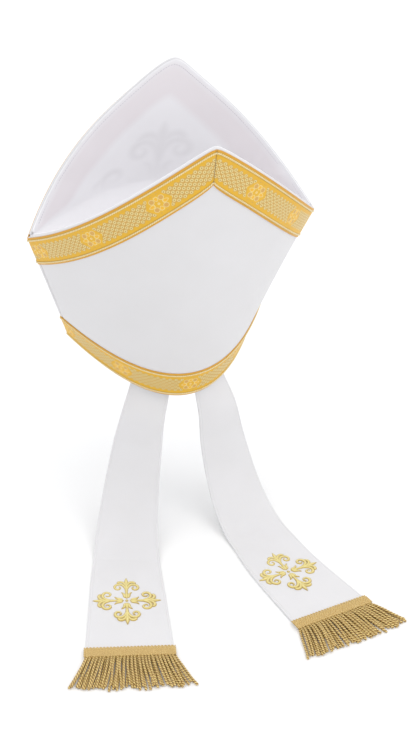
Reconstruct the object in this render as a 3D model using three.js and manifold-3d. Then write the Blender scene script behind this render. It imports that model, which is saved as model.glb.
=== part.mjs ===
// Bishop's mitre: two stiffened cloth panels that meet at side seams and rise to
// a front and a back peak, a gusset of cloth between the peaks, woven galloon
// round the hem and along both pairs of sloping edges, an embroidered cross on
// the front, and two lappets that hang from the back hem and end in fringes.
// Millimetres, +Z up. The wearer faces -Y and the lappets are at +Y. The origin
// is the middle of the head opening, halfway between the two side seams.
import * as THREE from 'three';
import { mergeVertices } from 'three/addons/utils/BufferGeometryUtils.js';
import Module from 'manifold-3d';

const wasm = await Module();
wasm.setup();

// Panels, measured upright, before the mitre leans back on the head
const HEM_HALF_WIDTH = 103;
const HEM_HALF_DEPTH = 96;
const HEM_DIP = 5;
const CORNER_HALF_WIDTH = 144;
const CORNER_HALF_DEPTH = 83;
const CORNER_HEIGHT = 149;
const PEAK_RATIO = 1.89;
const PANEL_BOW = 5;
const PANEL_WALL = 2.5;
const SEAM_GAP = 0.4;
const PANEL_COLUMNS = 36;
const CROSS_COLUMNS = 22;

// How far the mitre leans back on the head, and how far the rim's middle is
// above the table on which the lappets lie
const LEAN = THREE.MathUtils.degToRad(26);
const RIM_ABOVE_TABLE = 200;

// Galloon and embroidery
const GALLOON_WIDTH = 31;
const GALLOON_INSET = 3;
const HEM_GALLOON_INSET = 1.8;
const TRIM_GAP = 0.35;
const TRIM_THICK = 1.2;

// Gusset
const GUSSET_WALL = 1.2;
const GUSSET_GAP = 0.5;
const GUSSET_END = 0.94;
const GUSSET_DIP = 0.1;
const GUSSET_SAG = 26;
const GUSSET_TOP_DROP = 1.5;

// Lappets
const LAPPET_WALL = 2;
const LAPPET_TUCK = 0.15;
const LAPPET_CUP = 4;
const HEADING_DEPTH = 10;
const HEADING_THICK = 2;
const HEADING_OVERLAP = 8;
const FRINGE_LENGTH = 38;
const FRINGE_THICK = 5;
const FRINGE_SPREAD = 1.34;

// The two faces of the mitre: edgePower shapes the sloping edges, 1 is straight
const BACK = { facing: 1, edgePower: 1.15 };
const FRONT = { facing: -1, edgePower: 1 };

// The cut of a lappet, row by row from the tuck inside the hem to the end
const LAPPET_CUT = [
  { width: 40, cup: 1 },
  { width: 42, cup: 1 },
  { width: 47.5, cup: 0.6 },
  { width: 55, cup: 0.3 },
  { width: 60.5, cup: 0.1 },
  { width: 64, cup: 0 },
  { width: 67, cup: 0 },
  { width: 69.5, cup: 0 },
  { width: 74, cup: 0 },
  { width: 81.5, cup: 0 },
];

// The way each lappet falls, from just below the hem to the table: the middle
// of the band, the direction it is turned across, and its tilt across. The rows
// above these lie inside the back panel, at seamAt across it.
const LAPPET_LEFT = {
  seamAt: 0.37,
  rows: [
    { x: 44.7, y: 72.1, z: -72.7, turn: 148, bank: -8 },
    { x: 51.4, y: 70.7, z: -107, turn: 145, bank: -3 },
    { x: 58.5, y: 75.8, z: -138.6, turn: 145, bank: 0 },
    { x: 66.5, y: 88.3, z: -165.9, turn: 149, bank: 0 },
    { x: 75.2, y: 109, z: -187.2, turn: 153, bank: 0 },
    { x: 84, y: 140, z: -199, turn: 158, bank: 0 },
    { x: 94, y: 184, z: -199, turn: 162, bank: 0 },
    { x: 112.9, y: 271, z: -199, turn: 164, bank: 0 },
  ],
};
const LAPPET_RIGHT = {
  seamAt: -0.34,
  rows: [
    { x: -38.6, y: 72.7, z: -74, turn: 195, bank: 7 },
    { x: -44.4, y: 71.6, z: -112, turn: 194, bank: 2 },
    { x: -50.3, y: 79.5, z: -149.4, turn: 192, bank: 0 },
    { x: -54.6, y: 96.4, z: -176.5, turn: 190, bank: 0 },
    { x: -58.8, y: 123, z: -194.2, turn: 188, bank: 0 },
    { x: -62, y: 150, z: -199, turn: 187, bank: 0 },
    { x: -67.9, y: 202, z: -199, turn: 187, bank: 0 },
    { x: -84.6, y: 282, z: -199, turn: 187.5, bank: 0 },
  ],
};

// The crosses: size is tip to tip, leafReach is how far the leaves between the
// arms reach, as a share of an arm. The lappet's cross lies at rowShare of its
// rows, and the front's middle is at height above the hem.
const LAPPET_CROSS = { rowShare: 0.905, size: 66, leafReach: 0.3 };
const LAPPET_CROSS_ROWS = { first: 0.8, last: 0.98 };
const FRONT_CROSS = { height: 128, size: 168, leafReach: 0.62 };

const CLOTH = { color: 0xf1f1f4, roughness: 0.85, metalness: 0 };
const GUSSET_CLOTH = { color: 0xe9e6ec, roughness: 0.85, metalness: 0 };
const GALLOON = { color: 0xd9a93a, roughness: 0.55, metalness: 0.15 };
const EMBROIDERY = { color: 0xcdb878, roughness: 0.4, metalness: 0.2 };
const BULLION = { color: 0xcaa04a, roughness: 0.45, metalness: 0.25 };

// ---- surfaces ----

// A point of a panel's outer face: across runs from -1 to 1 between the side
// seams, and up is 0 at the hem and 1 at the level of the side corners.
function panelPoint(face, across, up) {
  const bulge = 1 - across * across;
  const halfWidth = THREE.MathUtils.lerp(HEM_HALF_WIDTH, CORNER_HALF_WIDTH, up);
  const halfDepth = THREE.MathUtils.lerp(HEM_HALF_DEPTH, CORNER_HALF_DEPTH, up);
  const depth = halfDepth + PANEL_BOW * up * (1 - up);
  return new THREE.Vector3(
    halfWidth * across,
    face.facing * depth * bulge,
    CORNER_HEIGHT * up - HEM_DIP * bulge * (1 - up),
  );
}

function panelTangents(face, across, up) {
  const h = 1e-4;
  const alongRow = panelPoint(face, across + h, up).sub(panelPoint(face, across - h, up));
  const alongRuling = panelPoint(face, across, up + h).sub(panelPoint(face, across, up - h));
  return {
    alongRow: alongRow.divideScalar(2 * h),
    alongRuling: alongRuling.divideScalar(2 * h),
  };
}

function panelNormal(face, across, up) {
  const { alongRow, alongRuling } = panelTangents(face, across, up);
  const normal = alongRow.cross(alongRuling).normalize();
  if (normal.y * face.facing < 0) normal.negate();
  return normal;
}

// The panel's face moved outwards by lift, or inwards where lift is negative
function liftedPoint(face, across, up, lift) {
  const normal = panelNormal(face, across, up);
  return panelPoint(face, across, up).addScaledVector(normal, lift);
}

// Where the sloping edge crosses a ruling
function edgeLevel(face, across) {
  const fall = Math.pow(Math.abs(across), face.edgePower);
  return 1 + (PEAK_RATIO - 1) * (1 - fall);
}

// The level that lies a distance below the sloping edge, square to that edge
function levelBelowEdge(face, across, distance) {
  const h = 1e-3;
  const at = Math.sign(across) * Math.max(Math.abs(across), 2 * h);
  const slope = (edgeLevel(face, at + h) - edgeLevel(face, at - h)) / (2 * h);
  const { alongRow, alongRuling } = panelTangents(face, at, edgeLevel(face, at));
  const rulingLength = alongRuling.length();
  const edge = alongRow.addScaledVector(alongRuling, slope).normalize();
  const sine = edge.cross(alongRuling.normalize()).length();
  return edgeLevel(face, across) - distance / (sine * rulingLength);
}

// The share of the half-width at which a lifted row reaches the seam plane
function seamShare(face, levelAt, lift, seamY) {
  let low = 0.8;
  let high = 1.2;
  for (let step = 0; step < 40; step += 1) {
    const middle = (low + high) / 2;
    const point = liftedPoint(face, middle, levelAt(middle), lift);
    if (point.y * face.facing > seamY) low = middle;
    else high = middle;
  }
  return low;
}

// ---- closed solids from grids of points ----

function geometryFrom(points, triangles) {
  const geometry = new THREE.BufferGeometry();
  const numbers = points.flatMap((point) => [point.x, point.y, point.z]);
  geometry.setAttribute('position', new THREE.Float32BufferAttribute(numbers, 3));
  let volume = 0;
  for (const [a, b, c] of triangles) {
    volume += points[a].dot(points[b].clone().cross(points[c]));
  }
  const facing = volume > 0 ? triangles : triangles.map(([a, b, c]) => [a, c, b]);
  geometry.setIndex(facing.flat());
  geometry.computeVertexNormals();
  return geometry;
}

// A wall between two grids of points, topAt and underAt, closed along its rim
function wallGeometry(columns, rows, topAt, underAt) {
  const points = [];
  for (const pointAt of [topAt, underAt]) {
    for (let j = 0; j <= rows; j += 1) {
      for (let i = 0; i <= columns; i += 1) points.push(pointAt(i / columns, j / rows));
    }
  }
  const sheet = (columns + 1) * (rows + 1);
  const at = (i, j, side) => side * sheet + j * (columns + 1) + i;
  const triangles = [];
  const quad = (a, b, c, d) => triangles.push([a, b, c], [a, c, d]);
  for (let j = 0; j < rows; j += 1) {
    for (let i = 0; i < columns; i += 1) {
      quad(at(i, j, 0), at(i + 1, j, 0), at(i + 1, j + 1, 0), at(i, j + 1, 0));
      quad(at(i, j, 1), at(i, j + 1, 1), at(i + 1, j + 1, 1), at(i + 1, j, 1));
    }
  }
  for (let i = 0; i < columns; i += 1) {
    quad(at(i, 0, 1), at(i + 1, 0, 1), at(i + 1, 0, 0), at(i, 0, 0));
    quad(at(i, rows, 0), at(i + 1, rows, 0), at(i + 1, rows, 1), at(i, rows, 1));
  }
  for (let j = 0; j < rows; j += 1) {
    quad(at(0, j, 0), at(0, j + 1, 0), at(0, j + 1, 1), at(0, j, 1));
    quad(at(columns, j, 1), at(columns, j + 1, 1), at(columns, j + 1, 0), at(columns, j, 0));
  }
  return geometryFrom(points, triangles);
}

// A band that closes on itself, from its cross-sections in order
function ringGeometry(sections) {
  const points = sections.flat();
  const corners = sections[0].length;
  const at = (i, k) => (i % sections.length) * corners + (k % corners);
  const triangles = [];
  for (let i = 0; i < sections.length; i += 1) {
    for (let k = 0; k < corners; k += 1) {
      triangles.push([at(i, k), at(i + 1, k), at(i + 1, k + 1)]);
      triangles.push([at(i, k), at(i + 1, k + 1), at(i, k + 1)]);
    }
  }
  return geometryFrom(points, triangles);
}

function solidFrom(geometry) {
  const bare = geometry.clone();
  bare.deleteAttribute('normal');
  bare.deleteAttribute('uv');
  const merged = mergeVertices(bare);
  return new wasm.Manifold(new wasm.Mesh({
    numProp: 3,
    vertProperties: new Float32Array(merged.attributes.position.array),
    triVerts: new Uint32Array(merged.index.array),
  }));
}

function geometryOf(solid) {
  const mesh = solid.getMesh();
  const geometry = new THREE.BufferGeometry();
  geometry.setAttribute('position', new THREE.BufferAttribute(mesh.vertProperties, 3));
  geometry.setIndex(new THREE.BufferAttribute(mesh.triVerts, 1));
  geometry.computeVertexNormals();
  return geometry;
}

function named(name, geometry, finish) {
  const mesh = new THREE.Mesh(geometry, new THREE.MeshStandardMaterial(finish));
  mesh.name = name;
  return mesh;
}

// ---- the mitre itself, upright ----

function panel(name, face) {
  const sheetAt = (lift) => (share, rise) => {
    const levelAt = (across) => rise * edgeLevel(face, across);
    const reach = seamShare(face, levelAt, lift, SEAM_GAP / 2);
    const across = (2 * share - 1) * reach;
    return liftedPoint(face, across, levelAt(across), lift);
  };
  return named(name, wallGeometry(PANEL_COLUMNS, 10, sheetAt(0), sheetAt(-PANEL_WALL)), CLOTH);
}

// One length of galloon, from the peak to a side corner. hand is 1 towards +X.
function edgeGalloon(name, face, hand) {
  const start = SEAM_GAP / 2 / CORNER_HALF_WIDTH;
  const sheetAt = (lift) => (along, drop) => {
    const below = GALLOON_INSET + drop * GALLOON_WIDTH;
    const levelAt = (across) => levelBelowEdge(face, across, below);
    const reach = seamShare(face, levelAt, lift, SEAM_GAP / 2);
    const across = hand * THREE.MathUtils.lerp(start, reach, along);
    return liftedPoint(face, across, levelAt(across), lift);
  };
  const outer = sheetAt(TRIM_GAP + TRIM_THICK);
  return named(name, wallGeometry(PANEL_COLUMNS / 2, 1, outer, sheetAt(TRIM_GAP)), GALLOON);
}

function hemGalloon() {
  const steps = PANEL_COLUMNS;
  const inner = TRIM_GAP;
  const outer = TRIM_GAP + TRIM_THICK;
  const bottom = HEM_GALLOON_INSET;
  const top = HEM_GALLOON_INSET + GALLOON_WIDTH;
  const corners = [[bottom, inner], [top, inner], [top, outer], [bottom, outer]];
  const sections = [];
  for (const [face, from] of [[BACK, -1], [FRONT, 1]]) {
    for (let i = 0; i < steps; i += 1) {
      const share = from * (1 - (2 * i) / steps);
      sections.push(corners.map(([height, lift]) => {
        const levelAt = () => height / CORNER_HEIGHT;
        const across = share * seamShare(face, levelAt, lift, 0);
        return liftedPoint(face, across, levelAt(), lift);
      }));
    }
  }
  return named('galloon_hem', ringGeometry(sections), GALLOON);
}

// The level at which the gusset leaves the inside of a peak
function gussetFoot(across) {
  return 1 - GUSSET_DIP * (1 - across * across);
}

// The gusset's cloth against the inside of one peak
function gussetWall(name, face) {
  const sheetAt = (inset) => (share, rise) => {
    const across = (2 * share - 1) * GUSSET_END;
    const foot = gussetFoot(across) + GUSSET_GAP / CORNER_HEIGHT;
    const top = levelBelowEdge(face, across, GUSSET_TOP_DROP);
    return liftedPoint(face, across, THREE.MathUtils.lerp(foot, top, rise), -inset);
  };
  const outside = PANEL_WALL + GUSSET_GAP;
  const geometry = wallGeometry(22, 6, sheetAt(outside + GUSSET_WALL), sheetAt(outside));
  return named(name, geometry, GUSSET_CLOTH);
}

// The gusset's cloth across the valley between the peaks, in a slack curve
function gussetFloor() {
  const sheetAt = (inset) => (share, through) => {
    const across = (2 * share - 1) * GUSSET_END;
    const face = through < 0.5 ? FRONT : BACK;
    const turn = Math.abs(2 * through - 1) * Math.PI / 2;
    const point = liftedPoint(face, across, gussetFoot(across), -inset);
    const sag = GUSSET_SAG * (1 - across * across) + PANEL_WALL + GUSSET_GAP - inset;
    point.y *= Math.sin(turn);
    point.z -= sag * Math.cos(turn);
    return point;
  };
  const outside = PANEL_WALL + GUSSET_GAP;
  const geometry = wallGeometry(22, 12, sheetAt(outside + GUSSET_WALL), sheetAt(outside));
  return named('gusset_floor', geometry, GUSSET_CLOTH);
}

// Half of one arm of the cross, from the middle out to the tip: distance along
// the arm and half-width across it, for an arm one unit long.
const CROSS_ARM = [
  { along: 0.13, half: 0.06 },
  { along: 0.22, half: 0.08 },
  { along: 0.4, half: 0.1 },
  { along: 0.52, half: 0.17 },
  { along: 0.5, half: 0.31 },
  { along: 0.58, half: 0.37 },
  { along: 0.69, half: 0.34 },
  { along: 0.75, half: 0.2 },
  { along: 0.86, half: 0.12 },
  { along: 1, half: 0 },
];

// Half of one leaf between two arms, in shares of the leaf's reach
const CROSS_LEAF = [
  { along: 0.34, half: 0.05 },
  { along: 0.7, half: 0.24 },
  { along: 1, half: 0 },
];

// The points of one arm or leaf, up one side to its tip and down the other
function lobePoints(table, reach, angle) {
  const down = table.slice(0, -1).reverse();
  const left = table.map(({ along, half }) => new THREE.Vector2(-half, along));
  const right = down.map(({ along, half }) => new THREE.Vector2(half, along));
  const middle = new THREE.Vector2();
  return [...left, ...right].map((point) => (
    point.multiplyScalar(reach).rotateAround(middle, -angle)
  ));
}

function crossShape({ size, leafReach }) {
  const points = [];
  for (let quarter = 0; quarter < 4; quarter += 1) {
    const angle = quarter * Math.PI / 2;
    points.push(...lobePoints(CROSS_ARM, size / 2, angle));
    points.push(...lobePoints(CROSS_LEAF, leafReach * size / 2, angle + Math.PI / 4));
  }
  return new THREE.Shape(points);
}

// A flat cross stood up as a prism that runs right through what it cuts
function crossPrism(cross, depth) {
  const options = { depth, bevelEnabled: false };
  return new THREE.ExtrudeGeometry(crossShape(cross), options).translate(0, 0, -depth / 2);
}

function frontCross() {
  const layerAt = (lift) => (share, rise) => {
    const across = (2 * share - 1) * CROSS_COLUMNS / PANEL_COLUMNS;
    return liftedPoint(FRONT, across, THREE.MathUtils.lerp(0.25, 1.5, rise), lift);
  };
  const layer = wallGeometry(CROSS_COLUMNS, 4, layerAt(TRIM_GAP + TRIM_THICK), layerAt(TRIM_GAP));
  const prism = crossPrism(FRONT_CROSS, HEM_HALF_DEPTH * 2);
  prism.rotateX(Math.PI / 2).translate(0, -HEM_HALF_DEPTH, FRONT_CROSS.height);
  return named('front_cross', geometryOf(solidFrom(layer).intersect(solidFrom(prism))), EMBROIDERY);
}

// ---- the lappets, as they fall and lie ----

// The rows inside the back panel: the tuck above the hem, and the hem itself
function tuckRow(seamAt, up) {
  const lean = new THREE.Matrix4().makeRotationX(-LEAN);
  const inset = -(PANEL_WALL + 0.6 + LAPPET_WALL / 2 + LAPPET_CUP);
  const middle = liftedPoint(BACK, seamAt, up, inset).applyMatrix4(lean);
  const { alongRow } = panelTangents(BACK, seamAt, up);
  const across = alongRow.negate().normalize().transformDirection(lean);
  const turn = THREE.MathUtils.radToDeg(Math.atan2(across.y, across.x));
  return {
    x: middle.x,
    y: middle.y,
    z: middle.z,
    turn: (turn + 360) % 360,
    bank: THREE.MathUtils.radToDeg(Math.asin(across.z)),
  };
}

function lappetFrame(lappet) {
  const rows = [tuckRow(lappet.seamAt, LAPPET_TUCK), tuckRow(lappet.seamAt, 0), ...lappet.rows];
  const route = new THREE.CatmullRomCurve3(
    rows.map((row) => new THREE.Vector3(row.x, row.y, row.z)), false, 'catmullrom', 0.5,
  );
  const poise = new THREE.CatmullRomCurve3(
    rows.map((row) => new THREE.Vector3(row.turn, row.bank, 0)), false, 'catmullrom', 0.5,
  );
  const cut = new THREE.CatmullRomCurve3(
    LAPPET_CUT.map((row) => new THREE.Vector3(row.width, row.cup, 0)), false, 'catmullrom', 0.5,
  );
  return (share) => {
    const middle = route.getPoint(share);
    const along = route.getTangent(share);
    const { x: turn, y: bank } = poise.getPoint(share);
    const { x: width, y: cup } = cut.getPoint(share);
    const heading = THREE.MathUtils.degToRad(turn);
    const tilt = THREE.MathUtils.degToRad(bank);
    const across = new THREE.Vector3(
      Math.cos(heading) * Math.cos(tilt), Math.sin(heading) * Math.cos(tilt), Math.sin(tilt),
    );
    const out = along.clone().cross(across).normalize();
    if (out.y + out.z < 0) out.negate();
    return { middle, along, across, out, width, cup: cup * LAPPET_CUP };
  };
}

// A point of the band: side runs from -1 to 1 across it, and lift is off its
// middle. No point sinks into the table.
function bandPoint(frame, side, lift) {
  const bow = frame.cup * (0.5 - side * side);
  const point = frame.middle.clone()
    .addScaledVector(frame.across, side * frame.width / 2)
    .addScaledVector(frame.out, lift + bow);
  const lowest = -RIM_ABOVE_TABLE + LAPPET_WALL / 2 + lift;
  point.z = Math.max(point.z, lowest);
  return point;
}

function lappetBand(name, frameAt) {
  const sheetAt = (lift) => (share, along) => bandPoint(frameAt(along), 2 * share - 1, lift);
  const geometry = wallGeometry(4, 36, sheetAt(LAPPET_WALL / 2), sheetAt(-LAPPET_WALL / 2));
  return named(name, geometry, CLOTH);
}

function lappetCross(name, frameAt) {
  const base = LAPPET_WALL / 2 + TRIM_GAP;
  const layerAt = (lift) => (share, along) => {
    const row = THREE.MathUtils.lerp(LAPPET_CROSS_ROWS.first, LAPPET_CROSS_ROWS.last, along);
    return bandPoint(frameAt(row), 2 * share - 1, lift);
  };
  const layer = wallGeometry(2, 4, layerAt(base + TRIM_THICK), layerAt(base));
  const { middle, along } = frameAt(LAPPET_CROSS.rowShare);
  const prism = crossPrism(LAPPET_CROSS, RIM_ABOVE_TABLE);
  prism.rotateZ(Math.atan2(along.y, along.x) + Math.PI / 2);
  prism.translate(middle.x, middle.y, middle.z);
  return named(name, geometryOf(solidFrom(layer).intersect(solidFrom(prism))), EMBROIDERY);
}

// A flat piece laid beyond or over the lappet's end: start and length are along
// the lappet from its end, and heights are above the table.
function endPiece(name, frameAt, finish, size) {
  const { middle, along, across, width } = frameAt(1);
  const sheetAt = (heightAt) => (share, run) => {
    const spread = THREE.MathUtils.lerp(1, size.spread, run);
    const point = middle.clone()
      .addScaledVector(across, (share - 0.5) * (width + size.extra) * spread)
      .addScaledVector(along, size.start + run * size.length);
    point.z = -RIM_ABOVE_TABLE + heightAt(run);
    return point;
  };
  const geometry = wallGeometry(size.columns, size.rows, sheetAt(size.topAt), sheetAt(size.underAt));
  return named(name, geometry, finish);
}

function lappetSet(hand, lappet) {
  const frameAt = lappetFrame(lappet);
  const clear = LAPPET_WALL + TRIM_GAP;
  return [
    lappetBand(`lappet_${hand}`, frameAt),
    lappetCross(`lappet_cross_${hand}`, frameAt),
    endPiece(`fringe_heading_${hand}`, frameAt, BULLION, {
      start: -HEADING_OVERLAP,
      length: HEADING_DEPTH,
      extra: 5,
      spread: 1,
      columns: 6,
      rows: 2,
      topAt: () => clear + HEADING_THICK,
      underAt: () => clear,
    }),
    endPiece(`fringe_${hand}`, frameAt, BULLION, {
      start: HEADING_DEPTH - HEADING_OVERLAP + TRIM_GAP,
      length: FRINGE_LENGTH,
      extra: 5,
      spread: FRINGE_SPREAD,
      columns: 10,
      rows: 5,
      topAt: (run) => FRINGE_THICK - 1.5 * run * run,
      underAt: () => 0,
    }),
  ];
}

// ---- assembly ----

const mitre = new THREE.Group();
mitre.rotation.x = -LEAN;
mitre.add(
  panel('back_panel', BACK),
  panel('front_panel', FRONT),
  gussetWall('gusset_back', BACK),
  gussetWall('gusset_front', FRONT),
  gussetFloor(),
  edgeGalloon('galloon_back_left', BACK, 1),
  edgeGalloon('galloon_back_right', BACK, -1),
  edgeGalloon('galloon_front_left', FRONT, 1),
  edgeGalloon('galloon_front_right', FRONT, -1),
  hemGalloon(),
  frontCross(),
);

const group = new THREE.Group();
group.add(mitre, ...lappetSet('left', LAPPET_LEFT), ...lappetSet('right', LAPPET_RIGHT));

export default group;
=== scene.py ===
"""The looks of the bishop's mitre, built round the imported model.

The mitre's surfaces are worked out upright, in millimetres, and are then leaned
back on the head and written in metres. Metres and the row frame hold for every
Blender object.
"""

import math

import bpy
import numpy as np
from mathutils import Matrix, Vector


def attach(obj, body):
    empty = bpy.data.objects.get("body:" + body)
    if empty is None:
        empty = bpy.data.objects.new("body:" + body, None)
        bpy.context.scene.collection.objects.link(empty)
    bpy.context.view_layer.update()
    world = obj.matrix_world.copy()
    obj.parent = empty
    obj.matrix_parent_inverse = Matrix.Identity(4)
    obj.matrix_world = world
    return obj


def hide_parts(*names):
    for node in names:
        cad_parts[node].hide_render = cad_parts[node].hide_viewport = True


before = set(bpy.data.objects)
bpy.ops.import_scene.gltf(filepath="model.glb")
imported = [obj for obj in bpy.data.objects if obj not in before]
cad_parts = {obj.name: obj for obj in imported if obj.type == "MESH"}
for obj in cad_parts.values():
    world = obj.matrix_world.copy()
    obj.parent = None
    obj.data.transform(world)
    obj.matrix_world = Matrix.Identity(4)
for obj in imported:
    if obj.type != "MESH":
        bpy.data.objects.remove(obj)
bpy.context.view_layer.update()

# ---- dimensions in millimetres, as in the CAD ----

HEM_HALF_WIDTH = 103
HEM_HALF_DEPTH = 96
HEM_DIP = 5
CORNER_HALF_WIDTH = 144
CORNER_HALF_DEPTH = 83
CORNER_HEIGHT = 149
PEAK_RATIO = 1.89
PANEL_BOW = 5
PANEL_WALL = 2.5
LEAN = math.radians(26)
TABLE = -200

GALLOON_WIDTH = 32.2
GALLOON_INSET = 1.4
HEM_GALLOON_INSET = 1.8
GALLOON_THICK = 0.8
GALLOON_LIFT = 0.05
EDGE_CORD_AT = 2.9
EDGE_CORD_RADIUS = 0.85
EDGE_CORD_PITCH = 4.0

GUSSET_WALL = 1.0
GUSSET_INSET = 2.55
GUSSET_END = 0.975
GUSSET_SAG = 26
GUSSET_TOP_DROP = 0.15
GUSSET_DIP = 0.1
# The share of the way from the valley to a peak at which the lining leaves the wall
GUSSET_FOOT = 0.4

LAPPET_WALL = 2
LAPPET_TUCK = 0.15
LAPPET_CUP = 4
LAPPET_SEAM_AT = 2.4
LAPPET_PUCKER = 6.3
HEADING_DEPTH = 10
HEADING_OVERLAP = 8
HEADING_EXTRA = 1.5
FRINGE_LENGTH = 38
BULLION_PITCH = 6
FRINGE_SPREAD = 1.33

LAPPET_CUT = [
    (40, 1), (42, 1), (47.5, 0.6), (55, 0.3), (60.5, 0.1),
    (64, 0), (67, 0), (69.5, 0), (74, 0), (81.5, 0),
]
# The rows are mostly rounded rows of a program that fitted the lappets to the photograph
LAPPETS = {
    "left": (0.37, [
        (44.7, 72.1, -72.7, 148, -8), (51.4, 70.7, -107, 145, -3),
        (58.5, 75.8, -138.6, 145, 0), (66.5, 88.3, -165.9, 149, 0),
        (75.2, 109, -187.2, 153, 0), (84, 140, -199, 158, 0),
        (94, 184, -199, 162, 0), (112.9, 271, -199, 164, 0),
    ]),
    "right": (-0.34, [
        (-38.6, 72.7, -74, 195, 7), (-44.4, 71.6, -112, 194, 2),
        (-50.3, 79.5, -149.4, 192, 0), (-54.6, 96.4, -176.5, 190, 0),
        (-58.8, 123, -194.2, 188, 0), (-62, 150, -199, 187, 0),
        (-67.9, 202, -199, 187, 0), (-84.6, 282, -199, 187.5, 0),
    ]),
}
# Each lappet cross: its middle as a share of the lappet, millimetres on from there, and aside
LAPPET_CROSS_AT = 0.905
LAPPET_CROSS_OFFSET = {"left": (5.4, -1.0), "right": (-3.1, -1.5)}
LAPPET_CROSS_SIZE = 67
FRONT_CROSS_SIZE = 168
FRONT_CROSS_HEIGHT = 128
FRONT_LEAF_REACH = 0.62
LAPPET_CROSS_RISE = 0.65
FRONT_CROSS_RISE = 1.4

# power shapes the sloping edges, and soft rounds the peak between them; crown is how far the peak swells
# above them: level, across and reach
BACK = {"facing": 1, "power": 1.15, "soft": 0.014, "crown": (0.004, 0, 0.1)}
FRONT = {"facing": -1, "power": 1.0, "soft": 0.034, "crown": (0.037, 0.04, 0.15)}


# ---- surfaces ----

def lerp(a, b, share):
    return a + (b - a) * share


def unit(vectors):
    return vectors / np.linalg.norm(vectors, axis=-1, keepdims=True)


def panel_point(face, across, up):
    """A point of a panel's outer face: across is -1 to 1 between the side seams, up is 0 at the hem."""
    bulge = 1 - across ** 2
    depth = lerp(HEM_HALF_DEPTH, CORNER_HALF_DEPTH, up) + PANEL_BOW * up * (1 - up)
    return np.stack([
        lerp(HEM_HALF_WIDTH, CORNER_HALF_WIDTH, up) * across,
        face["facing"] * depth * bulge,
        CORNER_HEIGHT * up - HEM_DIP * bulge * (1 - up),
    ], -1)


def panel_tangents(face, across, up, h=1e-4):
    row = panel_point(face, across + h, up) - panel_point(face, across - h, up)
    ruling = panel_point(face, across, up + h) - panel_point(face, across, up - h)
    return row / (2 * h), ruling / (2 * h)


def panel_normal(face, across, up):
    normal = unit(np.cross(*panel_tangents(face, across, up)))
    return normal * np.sign(normal[..., 1:2] * face["facing"])


def lifted(face, across, up, lift):
    across, up, lift = np.broadcast_arrays(across, up, lift)
    point = panel_point(face, across, up)
    return point + panel_normal(face, across, up) * lift[..., None]


def edge_level(face, across, soft=0.0):
    """Where the sloping edge crosses a ruling; soft rounds the peak."""
    fall = np.sqrt(across ** 2 + soft ** 2) ** face["power"]
    swell, middle, reach = face["crown"]
    return 1 + (PEAK_RATIO - 1) * (1 - fall) + swell * np.exp(-((across - middle) / reach) ** 2)


def level_below(face, across, distance, soft=0.0):
    """The level a distance below the sloping edge, square to that edge."""
    h = 1e-3
    at = np.where(across < 0, -1, 1) * np.maximum(np.abs(across), 2 * h)
    slope = (edge_level(face, at + h) - edge_level(face, at - h)) / (2 * h)
    row, ruling = panel_tangents(face, at, edge_level(face, at))
    length = np.linalg.norm(ruling, axis=-1)
    edge = unit(row + ruling * slope[..., None])
    sine = np.linalg.norm(np.cross(edge, ruling / length[..., None]), axis=-1)
    return edge_level(face, across, soft) - distance / (sine * length)


def seam_share(face, level_at, lift, seam):
    """The share of the half-width at which each lifted row comes within seam of the seam's plane."""
    low = np.full(np.shape(lift), 0.8)
    high = np.full(np.shape(lift), 1.2)
    for _ in range(30):
        middle = (low + high) / 2
        point = lifted(face, middle, level_at(middle), lift)
        out = point[..., 1] * face["facing"] > seam
        low, high = np.where(out, middle, low), np.where(out, high, middle)
    return low


def to_row(points):
    """From the upright mitre to the row frame: the mitre leans back on the head."""
    x, y, z = np.moveaxis(points, -1, 0)
    cos, sin = math.cos(LEAN), math.sin(LEAN)
    return np.stack([x, y * cos + z * sin, z * cos - y * sin], -1)


# ---- meshes from grids of points ----

ROUND = 1 - np.cos(np.linspace(0, math.pi / 2, 5))


def ball(share):
    """The height of a quarter circle at a share of its radius from the edge."""
    return np.sqrt(np.maximum(0, 1 - (1 - np.minimum(share, 1)) ** 2))


def quads(at):
    return np.stack([at[:-1, :-1], at[:-1, 1:], at[1:, 1:], at[1:, :-1]], -1).reshape(-1, 4)


def add_piece(name, points, faces, material, values=None):
    """A mesh of points in millimetres in the row frame, with its faces turned outwards."""
    points = np.asarray(points, float)
    faces = np.asarray(faces)
    a, b, c, d = (points[faces[:, k]] for k in range(4))
    volume = np.einsum("ij,ij->i", a + c, np.cross(b - a, d - a) + np.cross(d - c, b - c)).sum()
    if volume < 0:
        faces = faces[:, ::-1]
    mesh = bpy.data.meshes.new(name)
    mesh.from_pydata((points / 1000).tolist(), [], faces.tolist())
    mesh.shade_smooth()
    for key, value in (values or {}).items():
        value = np.asarray(value, np.float32)
        kind, field = ("FLOAT", "value") if value.ndim == 1 else ("FLOAT_VECTOR", "vector")
        layer = mesh.attributes.new(key, kind, "POINT")
        layer.data.foreach_set(field, value.ravel())
    mesh.materials.append(material)
    piece = bpy.data.objects.new(name, mesh)
    bpy.context.scene.collection.objects.link(piece)
    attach(piece, "root")
    return piece


def shell(top, under, values):
    """A closed sheet from two grids that share their rim. Gives points, faces and values."""
    rows, columns = top.shape[:2]
    at = np.arange(rows * columns).reshape(rows, columns)
    back = at.copy()
    inner = (slice(1, -1), slice(1, -1))
    back[inner] = rows * columns + np.arange((rows - 2) * (columns - 2)).reshape(rows - 2, -1)
    points = np.concatenate([top.reshape(-1, 3), under[inner].reshape(-1, 3)])
    faces = np.concatenate([quads(at), quads(back)[:, ::-1]])
    both = {
        key: np.concatenate([
            value.reshape(rows * columns, -1), value[inner].reshape((rows - 2) * (columns - 2), -1),
        ]).squeeze()
        for key, value in values.items()
    }
    return points, faces, both


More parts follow.
